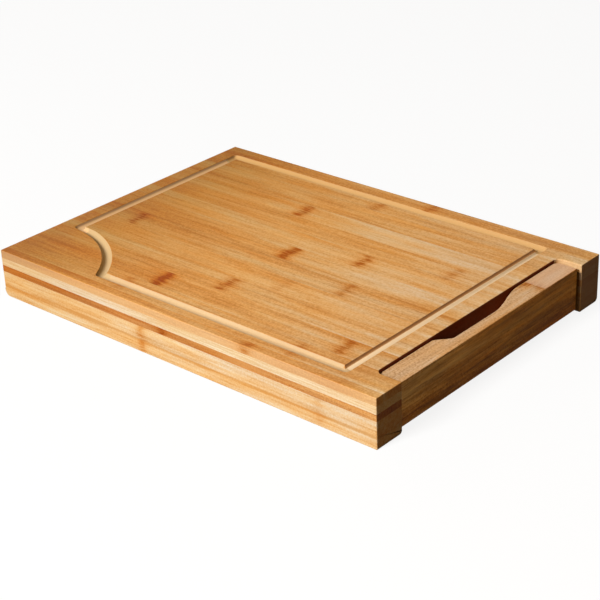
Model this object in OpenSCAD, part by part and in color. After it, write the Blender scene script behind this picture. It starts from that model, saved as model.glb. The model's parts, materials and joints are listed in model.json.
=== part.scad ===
// Bamboo cutting board with a drawer in its end.
// Origin: middle of the footprint, on the surface that the rails stand on.
// +X points out of the drawer end, +Y across to the far rail, +Z up. Millimetres.

/* [Board] */
// Length of the board, along the drawer's travel
board_l = 420; // [340:1:520]
// Width of the board, over both side rails
board_w = 300; // [240:1:380]
// Thickness of the upper ply, the cutting surface
upper_ply_t = 7; // [6:0.5:12]
// Thickness of the lower ply, glued under the upper one
lower_ply_t = 7; // [5:0.5:12]
// Thickness of the dark accent strips between panel and rails
accent_t = 6; // [4:0.5:12]
// Height of the rails' upper lamella
rail_upper_h = 13; // [11:0.5:20]
// Height of the rails' lower lamella
rail_lower_h = 11; // [10:0.5:20]
// Width of the near side rail
near_rail_w = 30; // [24:0.5:40]
// Width of the far side rail
far_rail_w = 27.5; // [24:0.5:40]
// Thickness of the back rail
back_rail_t = 20; // [14:0.5:30]
// Radius of the near rail's inner bottom edge
near_inner_r = 3; // [1:0.5:6]
// Radius of the far rail's inner bottom edge
far_inner_r = 1; // [1:0.5:6]
// Radius of the far rail's outer bottom edge
far_outer_r = 4; // [1:0.5:6]
// Radius of the side rails' bottom corner at the closed end
heel_r = 6; // [2:0.5:8]

/* [Juice groove] */
// Distance of the groove's middle from the two long edges and the closed end
groove_inset = 20; // [14:0.5:40]
// Distance of the groove's middle from the opening for the drawer front
groove_to_slot = 20.6; // [12:0.1:60]
// Radius of the round-nosed cutter
groove_r = 4.5; // [3:0.5:8]
// Depth of the groove
groove_depth = 3.5; // [2:0.25:4.5]
// Radius of the arc that cuts off the plain corner
corner_arc_r = 109; // [90:1:140]
// Distance of the arc's centre inside the closed end
corner_arc_in = 12.5; // [0:0.5:19]
// Distance of the arc's centre outside the near long edge
corner_arc_out = 33.5; // [10:0.5:40]

/* [Drawer front] */
// Thickness of the front
front_t = 21.1; // [16:0.1:30]
// Drop of the front's top below the board's top
front_drop = 2.5; // [0.5:0.5:6]
// Set-back of the front's face from the rails' ends
front_set_back = 2.5; // [0:0.5:10]
// Gap between the front's rear face and the opening's back edge
slot_gap = 0.8; // [0.5:0.1:3]
// Radius of the opening's inner corners and of the front's rear corners
slot_r = 5.5; // [2:0.5:8]
// Height of the drawer's underside above the table
drawer_lift = 3; // [1:0.5:5]
// Side play of the front between the rails, both sides together
drawer_play = 3.4; // [2:0.1:6]
// How far the drawer lies off the middle, towards the near rail
drawer_shift = 0.9; // [0:0.1:0.9]

/* [Finger recess] */
// Depth of the recess in the front's rear face
recess_d = 10.8; // [6:0.2:12]
// Height of the recess, from the front's top down
recess_h = 22; // [14:0.5:26]
// Reach of the recess from the front's middle to its near end
recess_near = 52.9; // [30:0.1:80]
// Length of the curved run at the near end
recess_near_run = 14; // [8:1:28]
// Reach of the recess from the front's middle to its far end
recess_far = 59.7; // [30:0.1:80]
// Length of the curved run at the far end
recess_far_run = 42.5; // [8:0.5:50]

/* [Drawer box] */
// Thickness of the drawer's sides
side_t = 12; // [12:0.5:20]
// Thickness of the drawer's back
back_t = 10; // [9:0.5:20]
// Thickness of the drawer's bottom
bottom_t = 5; // [3:0.5:6]
// Height of the bottom's underside above the sides' lower edge
bottom_up = 3; // [2:0.5:4]
// Depth of the grooves that hold the bottom
bottom_in = 5; // [3:0.5:6]
// Gap between the drawer's sides and the panel
drawer_top_gap = 1.5; // [0.5:0.5:4]
// Gap between the drawer's back and the back rail
drawer_back_gap = 2; // [1:0.5:10]

/* [Runners] */
// Reach of the runners into the sides' grooves, with the drawer in the middle
runner_bite = 3.8; // [3:0.2:4.6]
// Height of the runners
runner_h = 8; // [8:0.5:10]
// Gap under the drawer's weight, above the runners
runner_top_gap = 0.2; // [0.1:0.1:0.5]
// Gap below the runners, in the sides' grooves
runner_low_gap = 0.4; // [0.2:0.1:1]
// Gap between the runners' ends and the front, where the drawer stops
stop_gap = 0.3; // [0.1:0.1:1]

/* [Fasteners] */
// Diameter of the dowels in the rails
rail_dowel_d = 8; // [5:0.5:10]
// Distance of the end dowels from the board's ends
rail_dowel_end = 40; // [30:1:70]
// Distance of the back rail's dowels from the middle
back_dowel_y = 70; // [40:1:100]
// Diameter of the drawer's dowels
box_dowel_d = 4; // [3:0.5:4]
// Length of the dowels between front and sides
front_dowel_l = 22; // [16:1:40]
// Depth of those dowels in the front
front_dowel_in = 9; // [6:0.5:12]
// Length of the dowels between back and sides
back_dowel_l = 16; // [12:1:40]
// Diameter of the runner screws' shanks
screw_d = 3.5; // [2.5:0.25:4]
// Diameter of the runner screws' heads
screw_head_d = 6.5; // [5.5:0.25:7]
// Length of the runner screws
screw_l = 24; // [18:1:28]

/* [Hidden] */

$fn = 64;
// Sides of the board, as signs of Y
NEAR = -1;
FAR = 1;
// Overshoot of cuts past the faces they open
over = 1;
// Extra radius that the cutter leaves where the groove turns
turn_spare = 0.02;
// Radial gap round dowels and screws, for glue or drilling
hole_gap = 0.05;
// Spare depth past the end of a dowel or a screw's tip
hole_end_gap = 0.5;
// Wood left over the rail dowels in the lower ply
ply_skin = 1;
// Wood left under the rail dowels in the rails
rail_skin = 2;
// Wood left outside the back dowels in the drawer's sides
side_skin = 1.2;
// Gap above the bottom in its grooves, and at its edges
bottom_gap = 0.2;
bottom_edge_gap = 0.5;
// Spare room in the sides' runner grooves beyond the side play
groove_spare = 0.3;
// Sink of the screw heads below the runners' faces
head_sink = 0.3;
// Length of the screws' points
screw_tip = 4;
// Size of the cross cut in the screws' heads
cross_w = 0.9;
cross_depth = 1;
// Dowels along each side rail, and dowels at each corner of the drawer
rail_dowel_count = 4;
box_dowel_count = 2;
// Flats in each curved run of the finger recess
recess_steps = 12;

// Board levels
rail_h = rail_lower_h + rail_upper_h;
bay_h = rail_h + accent_t;
seam_z = bay_h + lower_ply_t;
board_h = seam_z + upper_ply_t;
bay_w = board_w - near_rail_w - far_rail_w;
bay_y = (near_rail_w - far_rail_w) / 2;
end_x = board_l / 2;
back_x = back_rail_t - end_x;
function rail_w(side) = side == NEAR ? near_rail_w : far_rail_w;
function rail_y(side) = side * (board_w - rail_w(side)) / 2;
function bay_edge(side) = bay_y + side * bay_w / 2;

// Drawer places
front_x1 = end_x - front_set_back;
front_x0 = front_x1 - front_t;
front_top = board_h - front_drop;
front_w = bay_w - drawer_play;
slot_x = front_x0 - slot_gap;
drawer_y = bay_y - drawer_shift;
box_w = front_w - 2 * slot_r;
box_in_w = box_w - 2 * side_t;
box_top = bay_h - drawer_top_gap;
box_x0 = back_x + drawer_back_gap;
box_in_x0 = box_x0 + back_t;
bottom_z = drawer_lift + bottom_up;
bottom_top = bottom_z + bottom_t;

// Runner places
runner_z = rail_lower_h + (rail_upper_h - runner_h) / 2;
runner_x1 = front_x0 - stop_gap;
runner_d = (bay_w - box_w) / 2 + runner_bite;
runner_groove_d = runner_bite + drawer_play / 2 + groove_spare;
side_web = side_t - runner_groove_d;

// Groove places
groove_z = board_h - groove_depth + groove_r;
groove_x0 = groove_inset - end_x;
groove_x1 = slot_x - groove_to_slot;
groove_y = board_w / 2 - groove_inset;
arc_c = [corner_arc_in - end_x, -board_w / 2 - corner_arc_out];
arc_dx = groove_x0 - arc_c[0];
arc_dy = -groove_y - arc_c[1];
arc_left = [groove_x0, arc_c[1] + sqrt(pow(corner_arc_r, 2) - pow(arc_dx, 2))];
arc_low = [arc_c[0] + sqrt(pow(corner_arc_r, 2) - pow(arc_dy, 2)), -groove_y];
arc_from = atan2(arc_dy, arc_low[0] - arc_c[0]);
arc_to = atan2(arc_left[1] - arc_c[1], arc_dx);

// Fastener places
rail_dowel_step = (board_l - 2 * rail_dowel_end) / (rail_dowel_count - 1);
rail_dowel_z0 = rail_lower_h + rail_skin;
rail_dowel_z1 = seam_z - ply_skin;
back_dowel_in = side_web - side_skin;
function rail_dowel_x(i) = rail_dowel_end - end_x + i * rail_dowel_step;
function screw_x(i) = rail_dowel_x(i + 0.5);
function screw_y(side) = bay_edge(side) - side * (runner_d - head_sink);
function box_dowel_z(i) = bottom_top + (box_top - bottom_top) * (i + 1) / (box_dowel_count + 1);
function box_side_y(side) = drawer_y + side * box_in_w / 2;
function box_web_y(side) = box_side_y(side) + side * side_web / 2;

// Shared shapes

// Removes a square corner along X, at Y = 0 and Z = 0, and leaves it round.
module corner_cut(r, l) {
    difference() {
        translate([-l / 2 - over, -over, -over]) cube([l + 2 * over, r + over, r + over]);
        translate([-l / 2 - 2 * over, r, r]) rotate([0, 90, 0]) cylinder(r = r, h = l + 4 * over);
    }
}

// Plan of the panel, with the opening for the drawer front.
module panel_plan() {
    difference() {
        square([board_l, board_w], center = true);
        translate([slot_x + slot_r, bay_edge(NEAR)]) square([end_x - slot_x, bay_w]);
        translate([slot_x, bay_edge(NEAR) + slot_r]) square([2 * slot_r, bay_w - 2 * slot_r]);
        for (side = [NEAR, FAR])
            translate([slot_x + slot_r, bay_edge(side) - side * slot_r]) circle(r = slot_r);
    }
}

// Straight run of the groove between two points of its middle line.
module groove_run(from, to) {
    run = to - from;
    translate([from[0], from[1], groove_z]) rotate([0, 0, atan2(run[1], run[0])]) rotate([0, 90, 0])
        cylinder(r = groove_r, h = norm(run));
}

// The whole groove, as the round-nosed cutter leaves it.
module juice_groove() {
    stops = [arc_low, [groove_x1, -groove_y], [groove_x1, groove_y], [groove_x0, groove_y], arc_left];
    for (i = [0 : len(stops) - 2])
        groove_run(stops[i], stops[i + 1]);
    for (stop = stops)
        translate([stop[0], stop[1], groove_z]) sphere(r = groove_r + turn_spare);
    translate([arc_c[0], arc_c[1], groove_z]) rotate([0, 0, arc_from])
        rotate_extrude(angle = arc_to - arc_from) translate([corner_arc_r, 0]) circle(r = groove_r);
}

// Upright dowel of the rails, or its hole with a gap round it.
module rail_dowel(gap = 0, end_gap = 0) {
    translate([0, 0, rail_dowel_z0 - end_gap])
        cylinder(d = rail_dowel_d + 2 * gap, h = rail_dowel_z1 - rail_dowel_z0 + 2 * end_gap);
}

module side_rail_dowels(side, gap = 0, end_gap = 0) {
    for (i = [0 : rail_dowel_count - 1])
        translate([rail_dowel_x(i), rail_y(side), 0]) rail_dowel(gap, end_gap);
}

module back_dowels(gap = 0, end_gap = 0) {
    for (side = [NEAR, FAR])
        translate([(back_x - end_x) / 2, side * back_dowel_y, 0]) rail_dowel(gap, end_gap);
}

module all_rail_holes() {
    side_rail_dowels(NEAR, hole_gap, hole_end_gap);
    side_rail_dowels(FAR, hole_gap, hole_end_gap);
    back_dowels(hole_gap, hole_end_gap);
}

// Countersunk screw along +Y, its head's face at Y = 0, or its hole.
module wood_screw(gap = 0, end_gap = 0) {
    shank = screw_d / 2 + gap;
    head = screw_head_d / 2 + gap;
    tip = screw_l + end_gap;
    rotate([-90, 0, 0]) rotate_extrude() polygon([[0, 0], [head, 0], [shank, head - shank],
        [shank, tip - screw_tip], [0, tip]]);
}

module runner_screw_set(side, gap = 0, end_gap = 0) {
    for (i = [0 : rail_dowel_count - 2])
        translate([screw_x(i), screw_y(side), runner_z + runner_h / 2])
            mirror([0, side == NEAR ? 1 : 0, 0]) wood_screw(gap, end_gap);
}

// Dowels between the drawer's front and its sides, along X, or their holes.
module front_dowels(gap = 0, end_gap = 0) {
    for (side = [NEAR, FAR], i = [0 : box_dowel_count - 1])
        translate([front_x0 + front_dowel_in + end_gap, box_web_y(side), box_dowel_z(i)]) rotate([0, -90, 0])
            cylinder(d = box_dowel_d + 2 * gap, h = front_dowel_l + 2 * end_gap);
}

// Dowels between the drawer's back and its sides, along Y, or their holes.
module rear_dowels(gap = 0, end_gap = 0) {
    for (side = [NEAR, FAR], i = [0 : box_dowel_count - 1])
        translate([box_x0 + back_t / 2, box_side_y(side) + side * (back_dowel_in + end_gap), box_dowel_z(i)])
            rotate([side * 90, 0, 0]) cylinder(d = box_dowel_d + 2 * gap, h = back_dowel_l + 2 * end_gap);
}

// Room for the drawer's bottom, with its groove gaps.
module bottom_room() {
    x0 = box_in_x0 - bottom_in;
    w = box_in_w + 2 * bottom_in;
    translate([x0, drawer_y - w / 2, bottom_z])
        cube([front_x0 + bottom_in - x0, w, bottom_t + bottom_gap]);
}

// Strip along a side of the board, between two levels.
module side_strip(side, z0, z1) {
    translate([-end_x, rail_y(side) - rail_w(side) / 2, z0]) cube([board_l, rail_w(side), z1 - z0]);
}

// Strip across the closed end, between two levels.
module back_strip(z0, z1) {
    translate([-end_x, bay_edge(NEAR), z0]) cube([back_rail_t, bay_w, z1 - z0]);
}

// Panel

module upper_ply() {
    color("#D9A566") difference() {
        translate([0, 0, seam_z]) linear_extrude(upper_ply_t) panel_plan();
        juice_groove();
    }
}

module lower_ply() {
    color("#E3BE88") difference() {
        translate([0, 0, bay_h]) linear_extrude(lower_ply_t) panel_plan();
        all_rail_holes();
    }
}

// Accent strips

module near_accent_strip() {
    color("#8A4B1E") difference() {
        side_strip(NEAR, rail_h, bay_h);
        side_rail_dowels(NEAR, hole_gap);
    }
}

module far_accent_strip() {
    color("#8A4B1E") difference() {
        side_strip(FAR, rail_h, bay_h);
        side_rail_dowels(FAR, hole_gap);
    }
}

module back_accent_strip() {
    color("#8A4B1E") difference() {
        back_strip(rail_h, bay_h);
        back_dowels(hole_gap);
    }
}

// Rails

module rail_upper(side) {
    difference() {
        side_strip(side, rail_lower_h, rail_h);
        side_rail_dowels(side, hole_gap, hole_end_gap);
        runner_screw_set(side, hole_gap, hole_end_gap);
    }
}

module rail_lower(side, inner_r, outer_r) {
    difference() {
        side_strip(side, 0, rail_lower_h);
        translate([0, bay_edge(side), 0]) mirror([0, side == NEAR ? 1 : 0, 0])
            corner_cut(inner_r, board_l);
        if (outer_r > 0)
            translate([0, side * board_w / 2, 0]) mirror([0, side == FAR ? 1 : 0, 0])
                corner_cut(outer_r, board_l);
        translate([-end_x, rail_y(side), 0]) rotate([0, 0, -90]) corner_cut(heel_r, rail_w(side));
    }
}

module near_rail_upper() {
    color("#E2BB82") rail_upper(NEAR);
}

module near_rail_lower() {
    color("#DDB277") rail_lower(NEAR, near_inner_r, 0);
}

module far_rail_upper() {
    color("#E2BB82") rail_upper(FAR);
}

module far_rail_lower() {
    color("#DDB277") rail_lower(FAR, far_inner_r, far_outer_r);
}

module back_rail() {
    color("#DDB277") difference() {
        back_strip(drawer_lift, rail_h);
        back_dowels(hole_gap, hole_end_gap);
    }
}

// Runners and fasteners of the board

module runner(side) {
    difference() {
        translate([back_x, bay_edge(side) - (side == FAR ? runner_d : 0), runner_z])
            cube([runner_x1 - back_x, runner_d, runner_h]);
        runner_screw_set(side, hole_gap);
        // Countersink, carried on to the runner's face
        for (i = [0 : rail_dowel_count - 2])
            translate([screw_x(i), screw_y(side), runner_z + runner_h / 2])
                rotate([side * 90, 0, 0]) cylinder(d = screw_head_d + 2 * hole_gap, h = head_sink + over);
    }
}

module near_runner() {
    color("#CFA163") runner(NEAR);
}

module far_runner() {
    color("#CFA163") runner(FAR);
}

module runner_screws() {
    color("#B8B9BA") for (side = [NEAR, FAR])
        difference() {
            runner_screw_set(side);
            for (i = [0 : rail_dowel_count - 2], turn = [0, 90])
                translate([screw_x(i), screw_y(side), runner_z + runner_h / 2])
                    rotate([0, turn, 0]) cube([screw_d, 2 * cross_depth, cross_w], center = true);
        }
}

module near_rail_dowels() {
    color("#D8B98A") side_rail_dowels(NEAR);
}

module far_rail_dowels() {
    color("#D8B98A") side_rail_dowels(FAR);
}

module back_rail_dowels() {
    color("#D8B98A") back_dowels();
}

// Drawer

// Slope from 0 to 1 that eases in and out.
function sweep(t) = (t + (1 - cos(180 * t)) / 2) / 2;

// Plan of the finger recess: X into the front from its rear face, Y along the front.
module recess_plan() {
    near_run = [for (i = [0 : recess_steps]) let (t = i / recess_steps)
        [recess_d * sweep(t), recess_near_run * t - recess_near]];
    far_run = [for (i = [0 : recess_steps]) let (t = i / recess_steps)
        [recess_d * sweep(1 - t), recess_far - recess_far_run * (1 - t)]];
    polygon(concat([[-over, -recess_near]], near_run, far_run, [[-over, recess_far]]));
}

// Plan of the front, with its rear corners rounded to follow the opening.
module front_plan() {
    translate([slot_r, -front_w / 2]) square([front_t - slot_r, front_w]);
    translate([0, slot_r - front_w / 2]) square([front_t, front_w - 2 * slot_r]);
    for (side = [NEAR, FAR])
        translate([slot_r, side * (front_w / 2 - slot_r)]) circle(r = slot_r);
}

module drawer_front() {
    color("#CF9A5C") difference() {
        translate([front_x0, drawer_y, drawer_lift]) linear_extrude(front_top - drawer_lift) front_plan();
        translate([front_x0, drawer_y, front_top - recess_h]) linear_extrude(recess_h + over) recess_plan();
        bottom_room();
        front_dowels(hole_gap, hole_end_gap);
    }
}

module drawer_side(side) {
    inner_y = box_side_y(side);
    outer_y = inner_y + side * side_t;
    difference() {
        translate([box_x0, min(inner_y, outer_y), drawer_lift])
            cube([front_x0 - box_x0, side_t, box_top - drawer_lift]);
        translate([box_x0 - over, outer_y - side * runner_groove_d - (side == NEAR ? runner_d : 0),
                runner_z - runner_low_gap])
            cube([front_x0 - box_x0 + 2 * over, runner_d, runner_h + runner_low_gap + runner_top_gap]);
        bottom_room();
        front_dowels(hole_gap, hole_end_gap);
        rear_dowels(hole_gap, hole_end_gap);
    }
}

module drawer_near_side() {
    color("#DDB880") drawer_side(NEAR);
}

module drawer_far_side() {
    color("#DDB880") drawer_side(FAR);
}

module drawer_back() {
    color("#DDB880") difference() {
        translate([box_x0, drawer_y - box_in_w / 2, drawer_lift]) cube([back_t, box_in_w, box_top - drawer_lift]);
        bottom_room();
        rear_dowels(hole_gap, hole_end_gap);
    }
}

module drawer_bottom() {
    x0 = box_in_x0 - bottom_in + bottom_edge_gap;
    w = box_in_w + 2 * (bottom_in - bottom_edge_gap);
    color("#E4C591") translate([x0, drawer_y - w / 2, bottom_z])
        cube([front_x0 + bottom_in - bottom_edge_gap - x0, w, bottom_t]);
}

module drawer_front_dowels() {
    color("#D8B98A") front_dowels();
}

module drawer_back_dowels() {
    color("#D8B98A") rear_dowels();
}

upper_ply();
lower_ply();
near_accent_strip();
far_accent_strip();
back_accent_strip();
near_rail_upper();
near_rail_lower();
far_rail_upper();
far_rail_lower();
back_rail();
near_runner();
far_runner();
runner_screws();
near_rail_dowels();
far_rail_dowels();
back_rail_dowels();
drawer_front();
drawer_near_side();
drawer_far_side();
drawer_back();
drawer_bottom();
drawer_front_dowels();
drawer_back_dowels();
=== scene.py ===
"""Looks of a bamboo chopping board with a drawer in its end."""

import json
import logging
import math
from dataclasses import dataclass, field, replace
from enum import Enum
from typing import Callable, Iterable, Sequence, Union

import bmesh
import bpy
from mathutils import Matrix, Vector

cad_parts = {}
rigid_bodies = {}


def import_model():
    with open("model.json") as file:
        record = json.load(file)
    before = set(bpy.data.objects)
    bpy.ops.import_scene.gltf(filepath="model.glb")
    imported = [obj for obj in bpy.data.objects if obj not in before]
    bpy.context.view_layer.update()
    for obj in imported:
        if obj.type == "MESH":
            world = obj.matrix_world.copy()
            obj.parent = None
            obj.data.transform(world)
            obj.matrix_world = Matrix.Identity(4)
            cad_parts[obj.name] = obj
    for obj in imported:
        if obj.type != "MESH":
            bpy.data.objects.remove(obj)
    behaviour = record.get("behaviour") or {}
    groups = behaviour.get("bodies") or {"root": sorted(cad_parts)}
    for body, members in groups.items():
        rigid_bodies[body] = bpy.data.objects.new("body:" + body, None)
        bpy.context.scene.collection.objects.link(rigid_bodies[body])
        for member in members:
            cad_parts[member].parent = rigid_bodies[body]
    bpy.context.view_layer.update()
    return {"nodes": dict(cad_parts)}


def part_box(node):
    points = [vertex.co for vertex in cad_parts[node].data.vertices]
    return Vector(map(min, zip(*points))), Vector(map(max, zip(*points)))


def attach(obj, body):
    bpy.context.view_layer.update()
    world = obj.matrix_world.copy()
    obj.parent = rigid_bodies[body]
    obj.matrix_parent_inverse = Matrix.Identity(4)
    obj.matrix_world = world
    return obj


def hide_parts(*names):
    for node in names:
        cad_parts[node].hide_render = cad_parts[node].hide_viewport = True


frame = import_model()

log = logging.getLogger("board")

MM = 0.001
TIGHT = 0.00002
MERGE = TIGHT / 10
SMOOTH_BELOW = math.radians(40.0)
NORMAL_WEIGHT = 100
QUARTER = 90.0
ROUND_TURNS = (0.0, 30.0, 60.0, 90.0)
ROUND_PROFILE = 0.5
LIP = 0.3 * MM
EDGE_STEPS = 4
FOOT_STEPS = 6
BEND_STEPS = 8
THIN_STEPS = 2

Colour = tuple[float, float, float]
Socket = bpy.types.NodeSocket
Feed = Union[float, Socket]
Step = tuple[float, float]


class Axis(Enum):
    """The three directions of the shared frame."""

    LENGTH = 0
    WIDTH = 1
    HEIGHT = 2


class Body(Enum):
    """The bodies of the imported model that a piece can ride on."""

    BOARD = "board"
    DRAWER = "drawer"


class Side(Enum):
    """The two long sides of the board."""

    NEAR = "near"
    FAR = "far"


class Cut(Enum):
    """What a cutting tool leaves of a piece."""

    OUTSIDE = "DIFFERENCE"
    COMMON = "INTERSECT"


class Pick(Enum):
    """What edit mode selects."""

    EDGES = "EDGE"
    FACES = "FACE"


def quarter_round(radius: float) -> list[Step]:
    """Inset and rise of the three strips that round an edge over.

    Args:
        radius: radius of the rounding.

    Returns:
        Pairs of inset and rise, from the side face up to the top face.
    """
    turns = [math.radians(angle) for angle in ROUND_TURNS]
    steps = []
    for below, above in zip(turns, turns[1:]):
        inset = radius * (math.cos(below) - math.cos(above))
        rise = radius * (math.sin(above) - math.sin(below))
        steps.append((inset, rise))
    return steps


def let_go() -> None:
    """Leaves edit mode and deselects everything."""
    if bpy.context.mode != "OBJECT":
        bpy.ops.object.mode_set(mode="OBJECT")
    bpy.ops.object.select_all(action="DESELECT")


class Workpiece:
    """A mesh in the making, shaped with edit-mode operators."""

    def __init__(self, obj: bpy.types.Object, name: str) -> None:
        """Takes a fresh primitive and names it.

        Args:
            obj: the primitive.
            name: its new name.
        """
        obj.name = name
        obj.data.name = name
        self.obj = obj
        self.tip = Vector()

    @classmethod
    def block(cls, name: str, low: Vector, high: Vector) -> "Workpiece":
        """A box primitive at its size and place.

        Args:
            name: name of the new object.
            low: lowest corner.
            high: highest corner.

        Returns:
            The new workpiece, in object mode.
        """
        let_go()
        bpy.ops.mesh.primitive_cube_add(size=1.0, location=(low + high) / 2)
        piece = cls(bpy.context.object, name)
        piece.obj.scale = high - low
        bpy.ops.object.transform_apply(location=True, rotation=True, scale=True)
        return piece

    @classmethod
    def drawn(cls, name: str, start: Vector) -> "Workpiece":
        """A lone point, from which an outline is drawn.

        Args:
            name: name of the new object.
            start: place of the first point.

        Returns:
            The new workpiece, in edit mode with the point selected.
        """
        let_go()
        bpy.ops.mesh.primitive_plane_add(size=MM)
        piece = cls(bpy.context.object, name)
        piece.edit()
        bpy.ops.mesh.select_all(action="SELECT")
        bpy.ops.mesh.delete(type="VERT")
        piece.start(start)
        return piece

    def edit(self) -> None:
        """Goes into edit mode on this piece alone."""
        self.rest()
        bpy.ops.object.mode_set(mode="EDIT")

    def rest(self) -> None:
        """Goes back to object mode with only this piece selected."""
        let_go()
        self.obj.select_set(True)
        bpy.context.view_layer.objects.active = self.obj

    def start(self, point: Vector) -> None:
        """Adds a lone selected point to the mesh.

        Args:
            point: place of the point.
        """
        bpy.ops.mesh.select_mode(type="VERT")
        bpy.ops.mesh.select_all(action="DESELECT")
        bpy.ops.mesh.primitive_plane_add(size=MM, location=point)
        bpy.ops.mesh.merge(type="CENTER")
        self.tip = point.copy()

    def line(self, *points: Vector) -> None:
        """Draws straight stretches from the tip through the points.

        Args:
            points: ends of the stretches, in order.
        """
        for point in points:
            bpy.ops.mesh.extrude_vertices_move(TRANSFORM_OT_translate={"value": point - self.tip})
            self.tip = point.copy()

    def arc(self, centre: Vector, degrees: float, steps: int) -> None:
        """Draws an arc from the tip about an upright axis.

        Args:
            centre: centre of the arc.
            degrees: turn, counted against the clock as seen from above.
            steps: number of straight stretches.
        """
        turn = math.radians(degrees)
        bpy.ops.mesh.spin(steps=steps, angle=turn, center=centre, axis=(0.0, 0.0, -1.0))
        self.tip = centre + Matrix.Rotation(turn, 3, "Z") @ (self.tip - centre)

    def corners(self, *rows: tuple[Vector, Vector, float, int]) -> None:
        """Draws straight stretches that each end in an arc.

        Args:
            rows: end of the stretch, then centre, turn and number of stretches of the arc.
        """
        for end, centre, degrees, steps in rows:
            self.line(end)
            self.arc(centre, degrees, steps)

    def close(self) -> None:
        """Joins the two ends of an outline and fills it with one face that looks up."""
        bpy.ops.mesh.select_linked()
        bpy.ops.mesh.remove_doubles(threshold=TIGHT)
        bpy.ops.mesh.edge_face_add()
        mesh = bmesh.from_edit_mesh(self.obj.data)
        if any(face.select and face.normal.z < 0.0 for face in mesh.faces):
            bpy.ops.mesh.flip_normals()

    def rim(self, steps: Iterable[Step]) -> None:
        """Insets the selected face step by step.

        Args:
            steps: pairs of inset and rise along the face's normal.
        """
        for inset, rise in steps:
            bpy.ops.mesh.inset(thickness=inset, depth=rise, use_even_offset=True)

    def pick(self, what: Pick, test: Callable[[object], bool]) -> int:
        """Selects what passes a test and nothing else.

        Args:
            what: edges or faces.
            test: says of an edge or face whether it is wanted.

        Returns:
            The number selected.
        """
        bpy.ops.mesh.select_mode(type=what.value)
        bpy.ops.mesh.select_all(action="DESELECT")
        mesh = bmesh.from_edit_mesh(self.obj.data)
        pool = mesh.edges if what is Pick.EDGES else mesh.faces
        wanted = [item for item in pool if test(item)]
        for item in wanted:
            item.select_set(True)
        mesh.select_flush_mode()
        bmesh.update_edit_mesh(self.obj.data)
        return len(wanted)

    def pick_line(self, **places: float) -> int:
        """Selects the edges whose two ends lie at the given coordinates.

        Args:
            places: wanted values by the axis letters x, y and z.

        Returns:
            The number selected.
        """
        wanted = [("xyz".index(letter), value) for letter, value in places.items()]
        return self.pick(
            Pick.EDGES,
            lambda edge: all(
                abs(vertex.co[axis] - value) < TIGHT for vertex in edge.verts for axis, value in wanted
            ),
        )

    def bevel(self, radius: float, segments: int) -> None:
        """Rounds the selected edges.

        Args:
            radius: radius of the rounding.
            segments: number of strips.
        """
        bpy.ops.mesh.bevel(offset=radius, segments=segments, profile=ROUND_PROFILE, affect="EDGES")

    def round(self, radius: float, segments: int, **places: float) -> None:
        """Rounds the edges that lie at the given coordinates.

        Args:
            radius: radius of the rounding.
            segments: number of strips.
            places: wanted values by the axis letters x, y and z.
        """
        self.pick_line(**places)
        self.bevel(radius, segments)

    def pull(self, step: Vector) -> None:
        """Extrudes what is selected.

        Args:
            step: way and distance.
        """
        bpy.ops.mesh.extrude_region_move(TRANSFORM_OT_translate={"value": step})

    def combine(self, tool: "Workpiece", cut: Cut) -> None:
        """Cuts this piece with another one, which is used up.

        Args:
            tool: the other piece.
            cut: what stays of this piece.
        """
        self.rest()
        modifier = self.obj.modifiers.new("cut", "BOOLEAN")
        modifier.operation = cut.value
        modifier.solver = "EXACT"
        modifier.object = tool.obj
        bpy.ops.object.modifier_apply(modifier=modifier.name)
        bpy.data.objects.remove(tool.obj)

    def bore(self, *nodes: str) -> None:
        """Cuts the holes in which hidden dowels or boards sit.

        Args:
            nodes: names of the nodes that sit in this piece.
        """
        for node in nodes:
            cutter = frame["nodes"][node].copy()
            cutter.data = cutter.data.copy()
            cutter.parent = None
            bpy.context.scene.collection.objects.link(cutter)
            tool = Workpiece(cutter, "bore")
            tool.edit()
            bpy.ops.mesh.select_all(action="SELECT")
            bpy.ops.mesh.remove_doubles(threshold=MERGE)
            self.combine(tool, Cut.OUTSIDE)

    def finish(self, body: Body, node: str, slot: str) -> bpy.types.Object:
        """Merges, smooths and hangs the piece on its body.

        Args:
            body: body that carries the piece.
            node: node that the piece stands for.
            slot: material slot of the record; not used.

        Returns:
            The finished object.
        """
        self.edit()
        bpy.ops.mesh.select_all(action="SELECT")
        bpy.ops.mesh.remove_doubles(threshold=MERGE)
        bpy.ops.mesh.normals_make_consistent(inside=False)
        self.rest()
        bpy.ops.object.shade_smooth_by_angle(angle=SMOOTH_BELOW)
        modifier = self.obj.modifiers.new("even_normals", "WEIGHTED_NORMAL")
        modifier.keep_sharp = True
        modifier.weight = NORMAL_WEIGHT
        bpy.ops.object.modifier_apply(modifier=modifier.name)
        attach(self.obj, body.value)
        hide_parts(node)
        log.info("%s: %d faces", self.obj.name, len(self.obj.data.polygons))
        return self.obj


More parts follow.
